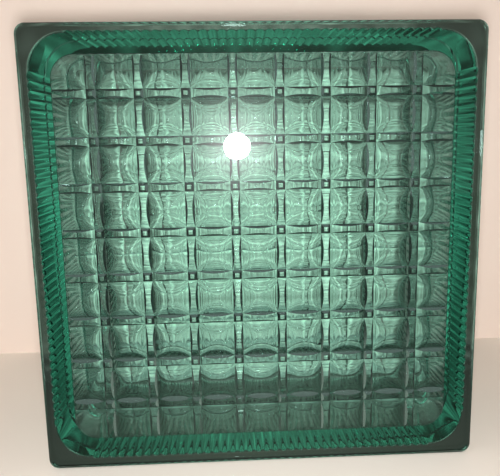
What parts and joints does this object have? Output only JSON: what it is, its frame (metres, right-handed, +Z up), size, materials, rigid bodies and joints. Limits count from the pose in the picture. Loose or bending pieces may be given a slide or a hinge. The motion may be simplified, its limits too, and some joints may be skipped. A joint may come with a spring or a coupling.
{
  "type": "glass block",
  "caption": "Hollow square wall block of green pressed glass, with ribbed sides set back behind a plain rim and a cushioned lattice relief behind smooth flat faces.",
  "frame": {"origin": "centre of the bottom edge's footprint, with the block standing upright on that edge", "axes": "+X along the width, +Y through the depth from the front face towards the back face, +Z up"},
  "size_m": [0.19, 0.08, 0.19],
  "materials": {
    "green_glass": "smooth fire-polished pressed glass"
  },
  "bodies": {
    "root": {"front_half": "green_glass", "back_half": "green_glass"}
  },
  "joints": []
}
